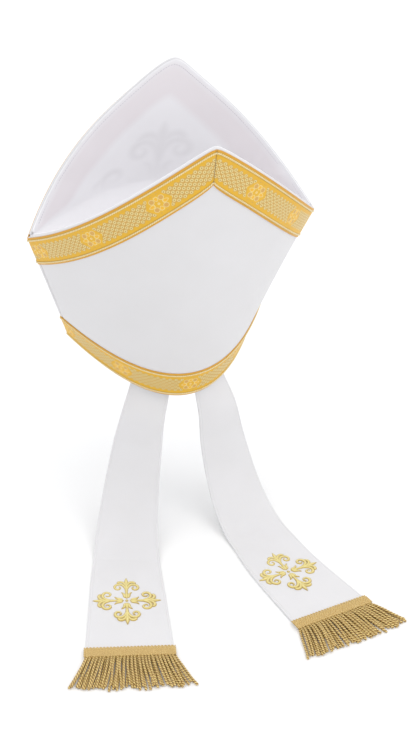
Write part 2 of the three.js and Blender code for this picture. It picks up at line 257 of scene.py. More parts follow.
def joined(parts):
    """Several (points, faces, values) as one."""
    points, faces, values, start = [], [], {}, 0
    for p, f, v in parts:
        points.append(p)
        faces.append(f + start)
        start += len(p)
        for key, value in v.items():
            values.setdefault(key, []).append(value)
    return (np.concatenate(points), np.concatenate(faces),
            {key: np.concatenate(value) for key, value in values.items()})


def travel(points):
    """How far along a line of points each one is."""
    steps = np.linalg.norm(np.diff(points, axis=0), axis=-1)
    return np.concatenate([[0], np.cumsum(steps)])


def resampled(points, step, *others):
    """The line at even steps, with any other values along it."""
    run = travel(points)
    count = max(3, int(round(run[-1] / step)) + 1)
    at = np.linspace(0, run[-1], count)
    columns = [np.stack([np.interp(at, run, c) for c in x.T], -1) for x in (points, *others)]
    return at, columns


def tube(points, normals, radius, sides, lobes=0, depth=0.0, pitch=1.0, phase=0.0):
    """A closed tube along points. lobes are the plies, twisted once in each pitch. Its value twist holds the
    run along it, the way round it and the height of the ply there."""
    run = travel(points)
    tangent = unit(np.gradient(points, axis=0))
    side = unit(np.cross(tangent, normals))
    up = np.cross(side, tangent)
    turn = np.arange(sides) * 2 * math.pi / sides
    crest = np.ones((len(run), sides))
    if lobes:
        crest = np.abs(np.cos((turn - (2 * math.pi * run / pitch)[:, None] + phase) * lobes / 2))
    size = np.broadcast_to(radius, run.shape)[:, None] * (1 - depth + depth * crest)
    ring = (points[:, None] + side[:, None] * (np.cos(turn) * size)[..., None]
            + up[:, None] * (np.sin(turn) * size)[..., None])
    at = np.arange(len(run) * sides).reshape(-1, sides)
    faces = quads(np.concatenate([at, at[:, :1]], 1))
    middle = np.array([points[0], points[-1]])
    first = len(run) * sides
    caps = []
    for end, row in ((first, at[0][::-1]), (first + 1, at[-1])):
        for k in range(0, sides, 2):
            caps.append([row[k], row[(k + 1) % sides], row[(k + 2) % sides], end])
    twist = np.stack(np.broadcast_arrays(run[:, None], turn / (2 * math.pi), crest), -1).reshape(-1, 3)
    ends = np.array([[0, 0, 0.5], [run[-1], 0, 0.5]])
    return (np.concatenate([ring.reshape(-1, 3), middle]), np.concatenate([faces, caps]),
            {"twist": np.concatenate([twist, ends])})


# ---- materials ----

def linear(red, green, blue):
    """An sRGB colour, 0 to 255 each, as the linear colour that shaders take."""
    return tuple(
        c / 12.92 if c <= 0.04045 else ((c + 0.055) / 1.055) ** 2.4
        for c in (red / 255, green / 255, blue / 255)
    ) + (1.0,)


class Term:
    """A number inside a material, with arithmetic that adds its Math nodes."""

    def __init__(self, tree, socket):
        self.tree, self.socket = tree, socket

    def math(self, operation, *others):
        node = self.tree.nodes.new("ShaderNodeMath")
        node.operation = operation
        for entry, term in zip(node.inputs, (self, *others)):
            if isinstance(term, Term):
                self.tree.links.new(term.socket, entry)
            else:
                entry.default_value = term
        return Term(self.tree, node.outputs[0])

    def __add__(self, other):
        return self.math("ADD", other)

    def __sub__(self, other):
        return self.math("SUBTRACT", other)

    def __mul__(self, other):
        return self.math("MULTIPLY", other)

    def __abs__(self):
        return self.math("ABSOLUTE")

    def __and__(self, other):
        """The lower of the two."""
        return self.math("MINIMUM", other)

    def nearest(self):
        return self.math("ROUND")

    def wave(self, period):
        return (self * (2 * math.pi / period)).math("SINE")

    def length(self, other):
        return (self * self + other * other).math("SQRT")

    def below(self, limit, blur=0.15):
        """1 below the limit and 0 above it, with a soft step."""
        node = self.tree.nodes.new("ShaderNodeMapRange")
        node.interpolation_type = "SMOOTHSTEP"
        self.tree.links.new(self.socket, node.inputs["Value"])
        for key, value in (("From Min", limit - blur), ("From Max", limit + blur),
                           ("To Min", 1.0), ("To Max", 0.0)):
            node.inputs[key].default_value = value
        return Term(self.tree, node.outputs["Result"])

    def above(self, limit, blur=0.15):
        return self.below(limit, blur) * -1 + 1


class Finish:
    """A Principled material whose nodes are added by short calls."""

    def __init__(self, name, roughness, **constants):
        self.material = bpy.data.materials.new(name)
        self.material.use_nodes = True
        self.tree = self.material.node_tree
        self.shader = self.tree.nodes["Principled BSDF"]
        self.shader.inputs["Roughness"].default_value = roughness
        for key, value in constants.items():
            self.shader.inputs[key.replace("_", " ")].default_value = value

    def values(self, name):
        """The three numbers of a vector attribute of the mesh."""
        node = self.tree.nodes.new("ShaderNodeAttribute")
        node.attribute_name = name
        split = self.tree.nodes.new("ShaderNodeSeparateXYZ")
        self.tree.links.new(node.outputs["Vector"], split.inputs[0])
        return [Term(self.tree, s) for s in split.outputs]

    def value(self, name):
        node = self.tree.nodes.new("ShaderNodeAttribute")
        node.attribute_name = name
        return Term(self.tree, node.outputs["Fac"])

    def noise(self, scale, detail):
        """Noise over the object's own space, in metres."""
        space = self.tree.nodes.new("ShaderNodeTexCoord").outputs["Object"]
        node = self.tree.nodes.new("ShaderNodeTexNoise")
        node.inputs["Scale"].default_value = scale
        node.inputs["Detail"].default_value = detail
        self.tree.links.new(space, node.inputs["Vector"])
        return Term(self.tree, node.outputs["Fac"])

    def mix(self, share, first, second):
        node = self.tree.nodes.new("ShaderNodeMix")
        node.data_type = "RGBA"
        for entry, term in ((node.inputs[0], share), (node.inputs[6], first), (node.inputs[7], second)):
            if isinstance(term, Term):
                self.tree.links.new(term.socket, entry)
            else:
                entry.default_value = term
        return Term(self.tree, node.outputs[2])

    def link(self, key, term):
        self.tree.links.new(term.socket, self.shader.inputs[key])

    def bump(self, height, depth, strength=1.0):
        """height from 0 to 1 stands for depth in millimetres."""
        node = self.tree.nodes.new("ShaderNodeBump")
        node.inputs["Strength"].default_value = strength
        node.inputs["Distance"].default_value = depth / 1000
        self.tree.links.new(height.socket, node.inputs["Height"])
        self.tree.links.new(node.outputs["Normal"], self.shader.inputs["Normal"])


def weave(finish, period):
    """The height of a plain weave, from the sheet's own threads in millimetres."""
    u, v, _ = finish.values("thread")
    return u.wave(period) * v.wave(period) * 0.5 + 0.5


def make_cloth():
    finish = Finish("white_cloth", 0.85, Sheen_Weight=0.15, Sheen_Roughness=0.5, Specular_IOR_Level=0.25)
    threads = weave(finish, 0.9)
    patches = finish.noise(22, 4)
    base = finish.mix(patches, linear(214, 213, 214), linear(221, 220, 222))
    finish.link("Base Color", finish.mix(threads * 0.1, base, linear(198, 198, 202)))
    finish.bump(threads + finish.noise(1400, 2) * 0.4, 0.09, 0.5)
    return finish.material


def make_lining():
    """Thin satin. Its base is paler than the cloth: partly its own colour and partly painted light standing
    in for the light that shines through the thin front wall. The front galloon and the front cross show on it
    as painted shadow, where they would block that light.
    """
    finish = Finish("lining_cloth", 0.85, Sheen_Weight=0.1, Specular_IOR_Level=0.3)
    threads = weave(finish, 0.7)
    # the lining's own pale colour, made paler still as painted light for the light shining through the front
    # wall
    base = finish.mix(finish.noise(16, 4), linear(235, 234, 236), linear(241, 240, 242))
    # painted shadow of the front galloon's band, then a blurred painted shadow of the front cross, where they
    # block the light shining through the front wall
    painted_through_shadow, cross, _ = finish.values("painted_through_shadow")
    colour_with_painted_shadow = finish.mix(painted_through_shadow, base, linear(226, 216, 219))
    colour_with_painted_shadow = finish.mix(cross, colour_with_painted_shadow, linear(216, 214, 216))
    finish.link("Base Color", finish.mix(threads * 0.06, colour_with_painted_shadow, linear(214, 210, 218)))
    finish.bump(threads, 0.05, 0.35)
    return finish.material


# The braid's pattern, in millimetres along it and off its middle
RING_PITCH = 6.2
RING_ROW = 2.45
RING_HALF_BAND = 8.5
FLOWER_PERIOD = 12 * RING_PITCH
FLOWER_REACH = 13.2
FLOWER_HALF_WIDTH = 8.9
LONG_PETAL_AT = 6.9
CROSS_PETAL_AT = 4.9
DISC_AT = (4.7, 4.5)
RIM_WIDTH = 1.5


def make_galloon():
    """Woven gold braid: rings on a diamond lattice, a flower now and then, and plain yellow beside them.
    The mesh gives thread: millimetres along the braid from a flower, and off its middle."""
    finish = Finish("gold_galloon", 0.5, Metallic=0.1, Specular_IOR_Level=0.5)
    along, off, _ = finish.values("thread")
    # the nearest ring of the lattice, as millimetres from it along and across
    first = along * (1 / RING_PITCH) + off * (0.5 / RING_ROW)
    second = along * (1 / RING_PITCH) - off * (0.5 / RING_ROW)
    near_first, near_second = first.nearest(), second.nearest()
    from_first, from_second = first - near_first, second - near_second
    ring_along = (from_first + from_second) * (RING_PITCH / 2)
    ring = ring_along.length((from_first - from_second) * RING_ROW)
    row = abs(near_first - near_second) * RING_ROW

    # the flower: four petals, four discs between them and a small ring
    place = along * (1 / FLOWER_PERIOD)
    from_flower = (place - place.nearest()) * FLOWER_PERIOD
    reach, span = abs(from_flower), abs(off)
    past_long, past_cross = reach - LONG_PETAL_AT, span - CROSS_PETAL_AT
    long_petal = (past_long * 0.6).length(span + past_long * 0.22)
    cross_petal = (past_cross * 0.72).length(reach - past_cross * 0.3)
    petal = long_petal & cross_petal
    disc = (reach - DISC_AT[0]).length(span - DISC_AT[1])
    heart = reach.length(span)
    flower = (reach + span * 0.7).below(FLOWER_REACH, 0.3) & span.below(FLOWER_HALF_WIDTH, 0.2)

    ringed = row.below(RING_HALF_BAND, 0.1) * (flower * -1 + 1)
    pale_ring = ring.below(1.5, 0.22) * ring.above(0.8, 0.25) * ringed
    inside = ring.below(0.85, 0.25) * ringed
    eye = ring.below(0.42, 0.25) * ringed
    petal_in, petal_edge = petal.below(1.35, 0.2), petal.below(1.85, 0.2)
    disc_in, disc_edge = disc.below(2.1, 0.2), disc.below(2.6, 0.2)
    heart_ring = heart.below(1.1, 0.2) * heart.above(0.5, 0.2)

    yellow = finish.mix(finish.noise(900, 2), linear(218, 168, 38), linear(228, 180, 50))
    tan = finish.mix(finish.noise(700, 2), linear(196, 154, 74), linear(206, 166, 86))
    colour = finish.mix(ringed, yellow, tan)
    for share, paint in (
        (inside, linear(202, 172, 98)),
        (pale_ring, linear(228, 212, 150)),
        (eye, linear(168, 132, 70)),
        (disc_edge * flower, linear(230, 210, 146)),
        (disc_in * flower, linear(210, 162, 82)),
        (petal_edge * flower, linear(232, 212, 140)),
        (petal_in * flower, linear(232, 178, 48)),
        (heart_ring * flower, linear(236, 218, 160)),
    ):
        colour = finish.mix(share, colour, paint)
    rim = span.above(GALLOON_WIDTH / 2 - RIM_WIDTH, 0.25)
    colour = finish.mix(rim, colour, linear(212, 156, 52))
    # painted shade under each edge cord and in the crevices along both its sides
    beside = abs(span - (GALLOON_WIDTH / 2 - EDGE_CORD_AT)).below(1.15, 0.15)
    colour = finish.mix(beside, colour, linear(186, 146, 58))
    finish.link("Base Color", colour)
    threads = (along + off * 0.2).wave(0.5) * off.wave(0.6) * 0.12
    raised = pale_ring * 0.6 + petal_in * flower * 0.4 + disc_edge * flower * 0.3 - eye * 0.4
    finish.bump(raised + threads, 0.32, 0.75)
    finish.link("Roughness", pale_ring * -0.12 + 0.5)
    return finish.material


def make_twist(name, light, dark, metallic, roughness):
    """Metal thread round a core: plies with painted highlight on their crests and painted shade in the
    furrows between them, scattered painted glints that darken the metal in small speckles, and fine wires
    across each ply.
    """
    finish = Finish(name, roughness, Metallic=metallic, Specular_IOR_Level=0.7)
    run, turn, crest = finish.values("twist")
    wires = (run + turn * 1.3).wave(0.32) * 0.5 + 0.5
    glints = finish.noise(800, 1)
    # painted highlight on each ply's crest and painted shade in the furrows between the plies
    colour = finish.mix(crest * crest, dark, light)
    # painted glints: small speckles pulled towards the painted shade colour
    colour = finish.mix(glints.below(0.47, 0.08) * 0.3, colour, dark)
    finish.link("Base Color", finish.mix(wires * 0.15, colour, dark))
    finish.bump(wires, 0.06, 0.5)
    return finish.material


def make_satin():
    """Satin stitch: threads side by side across each stroke, a little slanted, with painted shade where each
    stroke's padding falls away to its edges.
    """
    finish = Finish("satin_stitch", 0.42, Metallic=0.1, Specular_IOR_Level=0.6, Sheen_Weight=0.2)
    along, across, rise = finish.values("thread")
    threads = (along + across * 0.5).wave(0.5) * 0.5 + 0.5
    base = finish.mix(finish.noise(700, 2), linear(234, 218, 132), linear(246, 234, 164))
    # painted shade: darker where the stroke's padding falls away towards its edges
    colour = finish.mix(rise * rise * rise * rise, linear(186, 156, 72), base)
    finish.link("Base Color", finish.mix(threads * 0.12, colour, linear(200, 172, 92)))
    finish.bump(threads, 0.16, 0.7)
    return finish.material


def make_sewing():
    """The grey-white thread of the lining's machine stitches."""
    finish = Finish("sewing_thread", 0.6)
    base = finish.mix(finish.noise(1500, 1), linear(188, 182, 192), linear(214, 210, 216))
    finish.link("Base Color", base)
    return finish.material


CLOTH = make_cloth()
LINING = make_lining()
GALLOON = make_galloon()
# each cord's two colours are its painted highlight on the ply crests and its painted shade in the furrows
EDGE_CORD = make_twist("edge_cord", linear(252, 244, 206), linear(204, 174, 98), 0.1, 0.4)
BULLION = make_twist("bullion_cord", linear(255, 232, 150), linear(128, 80, 20), 0.12, 0.36)
BRAID = make_twist("braid_cord", linear(255, 238, 170), linear(168, 122, 48), 0.1, 0.45)
SATIN = make_satin()
SEWING = make_sewing()


# ---- panels, gusset and galloons ----

PANEL_ROWS = 58
# The share of a cloth's half that is rounded at its edge
EDGE_ROUND = 0.006
# How many millimetres the weave counts across a half-width and round half the lining
WEAVE_ACROSS = 219
WEAVE_ROUND = 130
SEAM_RADIUS = 1.7
STITCH_INSET = 4.6
STITCH_LENGTH = 1.8
STITCH_PITCH = 2.7
STITCH_RADIUS = 0.28


def across_stations(count):
    """Shares from -1 to 1, closer together at the peak and rounded off at both edges."""
    main = np.linspace(0, 1 - EDGE_ROUND, count)
    near_peak = np.array([0.003, 0.007, 0.012, 0.018])
    half = np.unique(np.concatenate([main, near_peak, 1 - EDGE_ROUND * ROUND]))
    return np.concatenate([-half[:0:-1], half])


def panel(name, face):
    radius = PANEL_WALL / 2
    middle = -radius
    inner, rim = np.full(PANEL_ROWS, radius), np.full(len(ROUND), radius)
    low = np.concatenate([radius * ROUND, inner, rim])
    high = np.concatenate([rim, inner, (radius * ROUND)[::-1]])
    share = np.concatenate([0 * ROUND, np.linspace(0, 1, PANEL_ROWS + 2)[1:-1], 0 * ROUND + 1])

    def level_at(across):
        return lerp(low / CORNER_HEIGHT, level_below(face, across, high, face["soft"]), share)

    reach = seam_share(face, level_at, np.full(len(share), middle), radius + 0.05)
    spots = across_stations(70)
    across = spots[None] * reach[:, None]
    rise = np.minimum(ball(low / radius), ball(high / radius))
    thick = rise[:, None] * ball((1 - np.abs(spots)) / EDGE_ROUND)[None]
    levels = level_at(across.T).T
    top = lifted(face, across, levels, middle + radius * thick)
    under = lifted(face, across, levels, middle - radius * thick)
    thread = np.stack([across * WEAVE_ACROSS, levels * CORNER_HEIGHT, 0 * across], -1)
    points, faces, values = shell(top, under, {"thread": thread})
    piece = add_piece(name + "_cloth", to_row(points), faces, CLOTH, values)
    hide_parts(name)
    return piece


def lining_stitches():
    """Machine stitches that run round the front peak, a little inside its edge."""
    across = np.linspace(-0.93, 0.93, 1500)
    level = level_below(FRONT, across, STITCH_INSET, FRONT["soft"])
    line = lifted(FRONT, across, level, -(GUSSET_INSET + GUSSET_WALL))
    ground = lifted(FRONT, across, level, 0.0)
    step = STITCH_LENGTH / 4
    _, (path, normals) = resampled(line, step, unit(line - ground))
    every = round(STITCH_PITCH / step)
    stitches = [tube(path[at:at + 5], normals[at:at + 5], STITCH_RADIUS, 6)
                for at in range(0, len(path) - 5, every)]
    points, faces, values = joined(stitches)
    return add_piece("lining_stitches", to_row(points), faces, SEWING, values)


def side_seam(name, hand):
    """The rolled seam that joins the two panels at one side, from the hem to the corner."""
    level = np.linspace(0.012, 0.994, 240)
    line = panel_point(BACK, np.full(level.shape, float(hand)), level)
    line[:, 0] -= hand * SEAM_RADIUS * 0.8
    normals = np.broadcast_to(np.array([float(hand), 0, 0]), line.shape)
    end = np.minimum(level - level[0], level[-1] - level) * CORNER_HEIGHT
    points, faces, values = tube(line, normals, SEAM_RADIUS * (0.3 + 0.7 * ball(end / SEAM_RADIUS)), 12)
    return add_piece(name, to_row(points), faces, CLOTH, {"thread": values["twist"]})


def panel_sheet(face):
    """Works out a panel's cloth as if laid flat: the length of the row between the corners, the length of its
    middle line and a grid over its face; none of it is kept or built.
    """
    across = np.linspace(-1, 1, 301)
    steps = np.linspace(0, 1, 301)
    wide = travel(panel_point(face, across, np.ones(across.shape)))[-1]
    high = travel(panel_point(face, 0 * steps, steps * PEAK_RATIO))[-1]
    share, rise = np.meshgrid(across, steps)
    grid = panel_point(face, share, rise * edge_level(face, share))


def strip_thread(grid, offs, flower_at):
    """Millimetres along a strip from a flower, and off its middle, also where its end is cut on the slant."""
    middle = np.argmin(np.abs(offs))
    run = np.stack([travel(line) for line in grid])
    ahead = np.searchsorted(run[middle], 60)
    start = unit(grid[middle, ahead] - grid[middle, ahead // 3])
    run += ((grid[:, 0] - grid[middle, 0]) @ start)[:, None] - flower_at
    return np.stack([run, np.broadcast_to(offs[:, None], run.shape), np.zeros(run.shape)], -1)


def strip(offs, columns, point_at, base, flower_at):
    """A woven band with rounded edges. point_at takes a row's place off the middle and its lifts, and gives
    the row's points."""
    half = GALLOON_THICK / 2
    edge = ball((GALLOON_WIDTH / 2 - np.abs(offs)) / half)
    ends = ball(np.minimum(np.arange(columns), columns - 1 - np.arange(columns)))
    thick = edge[:, None] * ends[None]
    middle = base + half
    top = np.stack([point_at(off, middle + half * row) for off, row in zip(offs, thick)])
    under = np.stack([point_at(off, middle - half * row) for off, row in zip(offs, thick)])
    return shell(top, under, {"thread": strip_thread(top, offs, flower_at)})


def band_rows(count):
    """Places off a galloon's middle, closer together at its rounded edges."""
    half = GALLOON_THICK / 2
    edge = GALLOON_WIDTH / 2 - half * ROUND
    inner = np.linspace(-edge[-1], edge[-1], count)
    return np.concatenate([-edge[:-1], inner, edge[:-1][::-1]])


def edge_cords(name, point_at, columns):
    """The twisted cords that run near both edges of a galloon."""
    cords = []
    for off in (EDGE_CORD_AT - GALLOON_WIDTH / 2, GALLOON_WIDTH / 2 - EDGE_CORD_AT):
        line = point_at(off, np.full(columns, GALLOON_LIFT + GALLOON_THICK + EDGE_CORD_RADIUS * 0.3))
        ground = point_at(off, np.full(columns, 0.0))
        _, (path, normals) = resampled(line, 0.45, unit(line - ground))
        cords.append(tube(path, normals, EDGE_CORD_RADIUS, 8, 2, 0.22, EDGE_CORD_PITCH))
    points, faces, values = joined(cords)
    return add_piece(name, to_row(points), faces, EDGE_CORD, values)


def edge_galloon(name, face, hand, flower_at):
    def point_at(off, lift):
        below = GALLOON_INSET + GALLOON_WIDTH / 2 + off
        soft = face["soft"] * (0.5 - off / GALLOON_WIDTH)

        def level_at(across):
            return level_below(face, across, below, soft)

        reach = seam_share(face, level_at, np.float64(np.mean(lift)), 0.1)
        share = np.linspace(0, 1, len(lift))
        # short steps at both ends, where the band is rounded
        share[1], share[-2] = 0.002, 0.998
        across = hand * lerp(0.0006, reach, share)
        return lifted(face, across, level_at(across), lift)

    points, faces, values = strip(band_rows(18), 100, point_at, GALLOON_LIFT, flower_at)
    piece = add_piece(name + "_braid", to_row(points), faces, GALLOON, values)
    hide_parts(name)
    return [piece, edge_cords(name + "_cords", point_at, 200)]


def hem_galloon():
    def point_at(off, lift):
        level = (HEM_GALLOON_INSET + GALLOON_WIDTH / 2 + off) / CORNER_HEIGHT
        share = np.linspace(0, 2, len(lift))
        found = []
        for face, start, first in ((BACK, -1, 0), (FRONT, 1, 1)):
            mine = share <= 1 if face is BACK else share > 1
            reach = seam_share(face, lambda _: np.float64(level), np.float64(np.mean(lift)), 0.0)
            across = start * (1 - 2 * (share[mine] - first)) * reach
            found.append(lifted(face, across, level, lift[mine]))
        return np.concatenate(found)

    points, faces, values = strip(band_rows(18), 361, point_at, GALLOON_LIFT, 0)
    piece = add_piece("galloon_hem_braid", to_row(points), faces, GALLOON, values)
    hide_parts("galloon_hem")
    return [piece, edge_cords("galloon_hem_cords", point_at, 601)]


# Soft swells of the lining: across, level, reach across, reach up, height in millimetres
SWELLS = [
    (0.42, 1.22, 0.13, 0.12, 1.6),
    (-0.45, 1.2, 0.16, 0.1, 1.2),
    (0.05, 1.45, 0.2, 0.16, 0.9),
    (0.7, 1.08, 0.1, 0.08, 1.4),
    (-0.74, 1.1, 0.08, 0.07, 1.5),
]
# Roughly the millimetres, square to the sloping edge, in one unit of level
BELOW_EDGE = 125
BAND_SHADE = 0.5
CROSS_SHADE = 0.35
SHADE_BLUR = 6


def gusset_point(across, around, inset):
    """The lining: around is -1 at the front peak's edge, 0 in the valley and 1 at the back peak's edge."""
    out = np.abs(around)
    found = np.zeros(across.shape + (3,))
    for face, mine in ((FRONT, around < 0), (BACK, around >= 0)):
        valley = 1 - GUSSET_DIP * (1 - across ** 2)
        top = level_below(face, across, GUSSET_TOP_DROP, face["soft"])
        rise = np.maximum(0, (out - GUSSET_FOOT) / (1 - GUSSET_FOOT))
        level = lerp(valley, top, rise)
        deep = inset * np.ones(across.shape)
        for at, up, wide, tall, height in SWELLS:
            deep = deep + height * np.exp(-((across - at) / wide) ** 2 - ((level - up) / tall) ** 2)
        wall = lifted(face, across, level, -deep)
        turn = np.minimum(out / GUSSET_FOOT, 1) * math.pi / 2
        wall[..., 1] *= np.sin(turn)
        wall[..., 2] -= (GUSSET_SAG * (1 - across ** 2) + GUSSET_INSET - inset) * np.cos(turn)
        found = np.where(mine[..., None], wall, found)
    return found


def behind_cross(upright):
    """How much of the front cross covers each point, blurred by the padding between them, for the painted
    shadow of the cross on the lining.
    """
    x, z = upright[..., 0].ravel(), upright[..., 2].ravel()
    found = np.zeros(x.shape)
    for place, _, _, _ in cross_strokes(FRONT_CROSS_SIZE, 0):
        middle = place[::3, place.shape[1] // 2]
        half = np.linalg.norm(place[::3, -1] - place[::3, 0], axis=-1) / 2
        away = np.hypot(x[:, None] - middle[:, 0], z[:, None] - FRONT_CROSS_HEIGHT - middle[:, 1])
        covered = np.clip((half + SHADE_BLUR / 2 - away) / SHADE_BLUR, 0, 1)
        found = np.maximum(found, covered.max(axis=1))
    return found.reshape(upright.shape[:-1])


def gusset():
    half = GUSSET_WALL / 2
    inset = GUSSET_INSET + half
    spots = across_stations(92)
    rim = np.array([1, 0.9985, 0.997, 0.994])
    around = np.concatenate([-rim, np.linspace(-0.99, -0.4, 120), np.linspace(-0.385, 0.99, 66), rim[::-1]])
    across = np.broadcast_to(spots * GUSSET_END, (len(around), len(spots)))
    rows = np.broadcast_to(around[:, None], across.shape)
    thick = ball((1 - np.abs(rows)) / EDGE_ROUND) * ball((1 - np.abs(spots)) / EDGE_ROUND)[None]
    top = gusset_point(across, rows, inset + half * thick)
    under = gusset_point(across, rows, inset - half * thick)

    # painted shadow of what blocks the light shining through the front wall: the galloon's band, and below it
    # the cross
    rise = (np.abs(rows) - GUSSET_FOOT) / (1 - GUSSET_FOOT)
    edge = edge_level(FRONT, across)
    level = np.where(rows < 0, lerp(1 - GUSSET_DIP * (1 - across ** 2), edge, rise), 0)
    below = (edge - level) * BELOW_EDGE
    wall = np.clip((-rows - GUSSET_FOOT) / 0.12, 0, 1)
    band = np.clip((below - 1) / 9, 0, 1) * np.clip((40 - below) / 9, 0, 1) * wall
    cross = behind_cross(top) * wall * np.clip((below - 38) / 4, 0, 1)
    painted_through_shadow = np.stack([band * BAND_SHADE, cross * CROSS_SHADE, 0 * cross], -1)
    thread = np.stack([across * WEAVE_ACROSS, rows * WEAVE_ROUND, 0 * across], -1)
    points, faces, values = shell(top, under, {"thread": thread, "painted_through_shadow": painted_through_shadow})
    piece = add_piece("gusset_lining", to_row(points), faces, LINING, values)
    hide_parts("gusset_back", "gusset_front", "gusset_floor")
    return piece


back_cloth = panel("back_panel", BACK)
front_cloth = panel("front_panel", FRONT)
back_trim, front_trim = hem_galloon(), []
side_seam("side_seam_left", 1)
side_seam("side_seam_right", -1)
for side_name, hand, flower_at in (("left", 1, 56.2), ("right", -1, 52.5)):
    back_trim += edge_galloon(f"galloon_back_{side_name}", BACK, hand, flower_at)
    front_trim += edge_galloon(f"galloon_front_{side_name}", FRONT, hand, flower_at)


# ---- lappets ----

def catmull(table, at):
    """Uniform Catmull-Rom through the rows of a table, at shares from 0 to 1."""
    table = np.asarray(table, float)
    ends = np.concatenate([[2 * table[0] - table[1]], table, [2 * table[-1] - table[-2]]])
    place = np.clip(at, 0, 1) * (len(table) - 1)
    first = np.minimum(place.astype(int), len(table) - 2)
    t = (place - first)[..., None]
    a, b, c, d = (ends[first + k] for k in range(4))
    out, back = (c - a) / 2, (d - b) / 2
    return b + out * t + (3 * (c - b) - 2 * out - back) * t ** 2 + (2 * (b - c) + out + back) * t ** 3


def tuck_row(seam_at, up):
    """A row of a lappet's table for the stretch inside the back panel, where it is sewn in."""
    inset = -(PANEL_WALL + 0.6 + LAPPET_WALL / 2 + LAPPET_CUP)
    at, up = np.array(seam_at, float), np.array(up, float)
    middle = to_row(lifted(BACK, at, up, inset))
    row, _ = panel_tangents(BACK, at, up)
    across = to_row(unit(-row))
    turn = math.degrees(math.atan2(across[1], across[0])) % 360
    return (*middle, turn, math.degrees(math.asin(across[2])))


def lappet_frame(seam_at, rows):
    """At a share of the lappet: the middle, the directions along, across and out, the width and the cup."""
    table = np.array([tuck_row(seam_at, LAPPET_TUCK), tuck_row(seam_at, 0), *rows])
    cut = np.array(LAPPET_CUT)

    def frame_at(share):
        share = np.asarray(share, float)
        middle = catmull(table[:, :3], share)
        along = unit(catmull(table[:, :3], share + 1e-4) - catmull(table[:, :3], share - 1e-4))
        turn, bank = np.radians(np.moveaxis(catmull(table[:, 3:], share), -1, 0))
        width, cup = np.moveaxis(catmull(cut, share), -1, 0)
        across = np.stack([np.cos(turn) * np.cos(bank), np.sin(turn) * np.cos(bank), np.sin(bank)], -1)
        out = unit(np.cross(along, across))
        out = out * np.where(out[..., 1:2] + out[..., 2:3] < 0, -1, 1)
        return middle, along, across, out, width, cup * LAPPET_CUP

    return frame_at


def band_point(lappet, side, lift):
    middle, _, across, out, width, cup = lappet
    bow = cup * (0.5 - side ** 2)
    point = middle + across * (side * width / 2)[..., None] + out * (lift + bow)[..., None]
    point[..., 2] = np.maximum(point[..., 2], TABLE + LAPPET_WALL / 2 + lift)
    return point


def lappet_band(name, frame_at):
    half = LAPPET_WALL / 2
    share = np.concatenate([[0, 0.0004, 0.001], np.linspace(0.002, 0.998, 230), [0.999, 0.9996, 1]])
    edge = np.array([0, 0.08, 0.3, 0.62, 1, 1.5, 1.9, 2.2, LAPPET_SEAM_AT, 2.6, 2.9, 3.4, 4.2, 5.5])
    lappet = frame_at(share)
    width = lappet[4]
    inner = np.linspace(-1, 1, 17)[1:-1]
    left = -1 + edge[None] / (width[:, None] / 2)
    main = inner[None] * (1 - edge[-1] / (width[:, None] / 2))
    side = np.concatenate([left, main, -left[:, ::-1]], 1)
    from_edge = (1 - np.abs(side)) * width[:, None] / 2
    ends = ball(np.minimum(share, 1 - share) / 0.002)
    thick = ball(from_edge / half) * ends[:, None]
    run = travel(lappet[0])
    groove = np.exp(-((from_edge - LAPPET_SEAM_AT) / 0.35) ** 2)
    near_edge = np.exp(-((from_edge - 1.6) / 1.6) ** 2)
    pucker = np.sin(run * 2 * math.pi / LAPPET_PUCKER + np.sin(run / 9))[:, None] * near_edge
    swell = (np.sin(run / 31)[:, None] * np.cos(side * 2.1 + 0.4) * 0.35
             + np.sin(run / 17 + 1.3)[:, None] * np.sin(side * 3.1) * 0.2)
    rise = half * thick - 0.35 * groove * ends[:, None] + 0.07 * pucker + swell * np.minimum(1, from_edge / 8)
    lappet = [x[:, None] for x in lappet]
    top = band_point(lappet, side, np.maximum(rise, -half * thick))
    under = band_point(lappet, side, -half * thick)
    thread = np.stack([side * width[:, None] / 2, run[:, None] + 0 * side, 0 * side], -1)
    points, faces, values = shell(top, under, {"thread": thread})
    piece = add_piece(name + "_cloth", points, faces, CLOTH, values)
    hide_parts(name)
    return piece, run[-1]


# ---- embroidery: strokes of satin stitch, drawn for an arm one unit long ----

STROKE_FULLNESS = 1.28
STITCHING_LIFT = 0.1
STITCHING_LAYER = 0.04
STITCHING_SINK = 0.25

# Each stroke: its line as (across, along), and its half-width at even steps before STROKE_FULLNESS
ARM_STROKES = [
    # bud at the middle of the cross: its body, then its outer leaf that curls away
    ([(0.0, 0.09), (0.0, 0.2), (0.0, 0.33)], [0.03, 0.05, 0.03]),
    ([(0.02, 0.12), (0.055, 0.16), (0.07, 0.23), (0.1, 0.3), (0.165, 0.36)],
     [0.018, 0.034, 0.032, 0.024, 0.006]),
    # stem, flaring out into the lily
    ([(0.0, 0.28), (0.0, 0.44), (0.0, 0.6), (0.0, 0.74)], [0.026, 0.038, 0.052, 0.04]),
    # tip
    ([(0.0, 0.68), (0.0, 0.82), (0.0, 0.92), (0.0, 1.0)], [0.03, 0.052, 0.034, 0.005]),
    # inner petal, which runs into the scroll
    ([(0.015, 0.46), (0.06, 0.6), (0.13, 0.68), (0.22, 0.7), (0.31, 0.66), (0.345, 0.575), (0.31, 0.495),
      (0.24, 0.475), (0.185, 0.52), (0.19, 0.585), (0.235, 0.61)],
     [0.018, 0.03, 0.036, 0.038, 0.038, 0.038, 0.035, 0.032, 0.028, 0.022, 0.012]),
    # outer petal
    ([(0.02, 0.62), (0.06, 0.74), (0.13, 0.8), (0.21, 0.8), (0.28, 0.74)],
     [0.018, 0.032, 0.038, 0.04, 0.026]),
]
LEAF_STROKES = [
    ([(0.0, 0.34), (0.0, 0.65), (0.0, 1.0)], [0.04, 0.14, 0.17, 0.1, 0.01]),
]


